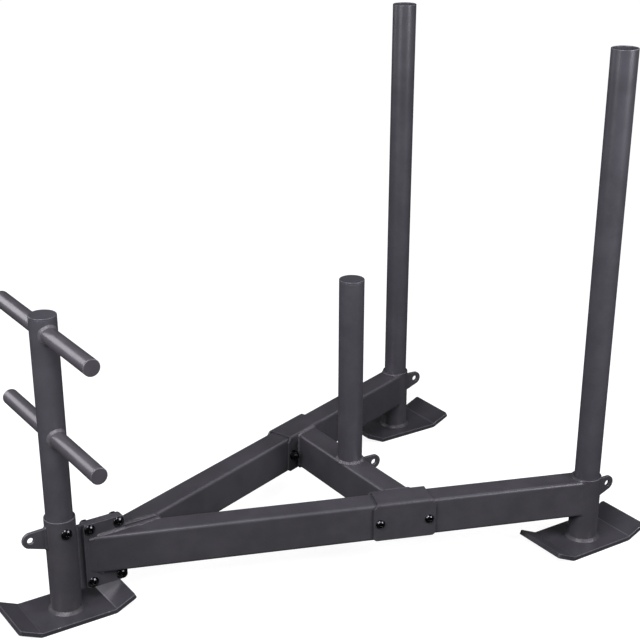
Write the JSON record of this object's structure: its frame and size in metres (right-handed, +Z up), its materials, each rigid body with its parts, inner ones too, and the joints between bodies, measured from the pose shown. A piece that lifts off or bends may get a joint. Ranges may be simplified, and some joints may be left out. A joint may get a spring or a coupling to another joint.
{
  "type": "push sled",
  "caption": "Push sled of welded and bolted steel tube, with upturned skis, a plate-loading post, cross handles on a front post and lift-out push poles.",
  "frame": {"origin": "on the ground, under the middle of the bounding box, on the sled's centre plane", "axes": "+Z is up, -Y points to the single front ski, +Y points to the push poles, +X is the side that carries the heads of the front bolts"},
  "size_m": [0.7464, 1.1954, 0.961],
  "materials": {
    "frame_paint": "fine-textured charcoal powder coat, satin",
    "post_paint": "smooth charcoal powder coat, satin",
    "handle_paint": "smooth charcoal powder coat, semi-gloss",
    "black_fastener": "black oxide steel, semi-gloss"
  },
  "bodies": {
    "frame": {"front_ski": "frame_paint", "front_sleeve": "frame_paint", "front_tow_ear": "frame_paint", "front_post": "post_paint", "front_post_cap": "post_paint", "front_post_bolt": "black_fastener", "front_post_washer": "black_fastener", "front_post_nut": "black_fastener", "upper_handle_bar": "handle_paint", "upper_handle_cap_left": "handle_paint", "upper_handle_cap_right": "handle_paint", "lower_handle_bar": "handle_paint", "lower_handle_cap_left": "handle_paint", "lower_handle_cap_right": "handle_paint", "front_web_plate": "frame_paint", "flange_plate_left": "frame_paint", "flange_plate_right": "frame_paint", "flange_1_bolt": "black_fastener", "flange_1_washer": "black_fastener", "flange_1_nut": "black_fastener", "flange_2_bolt": "black_fastener", "flange_2_washer": "black_fastener", "flange_2_nut": "black_fastener", "flange_3_bolt": "black_fastener", "flange_3_washer": "black_fastener", "flange_3_nut": "black_fastener", "flange_4_bolt": "black_fastener", "flange_4_washer": "black_fastener", "flange_4_nut": "black_fastener", "side_rail_left": "frame_paint", "side_rail_right": "frame_paint", "saddle_left": "frame_paint", "saddle_right": "frame_paint", "saddle_left_front_bolt": "black_fastener", "saddle_left_front_washer": "black_fastener", "saddle_left_front_nut": "black_fastener", "saddle_left_rear_bolt": "black_fastener", "saddle_left_rear_washer": "black_fastener", "saddle_left_rear_nut": "black_fastener", "saddle_right_front_bolt": "black_fastener", "saddle_right_front_washer": "black_fastener", "saddle_right_front_nut": "black_fastener", "saddle_right_rear_bolt": "black_fastener", "saddle_right_rear_washer": "black_fastener", "saddle_right_rear_nut": "black_fastener", "crossmember": "frame_paint", "weight_post": "post_paint", "weight_post_cap": "post_paint", "centre_tow_ear": "frame_paint", "rear_ski_left": "frame_paint", "rear_sleeve_left": "frame_paint", "rear_tow_ear_left": "frame_paint", "rear_ski_right": "frame_paint", "rear_sleeve_right": "frame_paint", "rear_tow_ear_right": "frame_paint"},
    "push_pole_left": {"push_pole_left": "post_paint"},
    "push_pole_right": {"push_pole_right": "post_paint"}
  },
  "joints": [
    {"name": "push_pole_left_lift", "type": "slide", "parent": "frame", "child": "push_pole_left", "axis": [0, 0, 1], "range_m": [0, 0.15]},
    {"name": "push_pole_right_lift", "type": "slide", "parent": "frame", "child": "push_pole_right", "axis": [0, 0, 1], "range_m": [0, 0.15]}
  ]
}
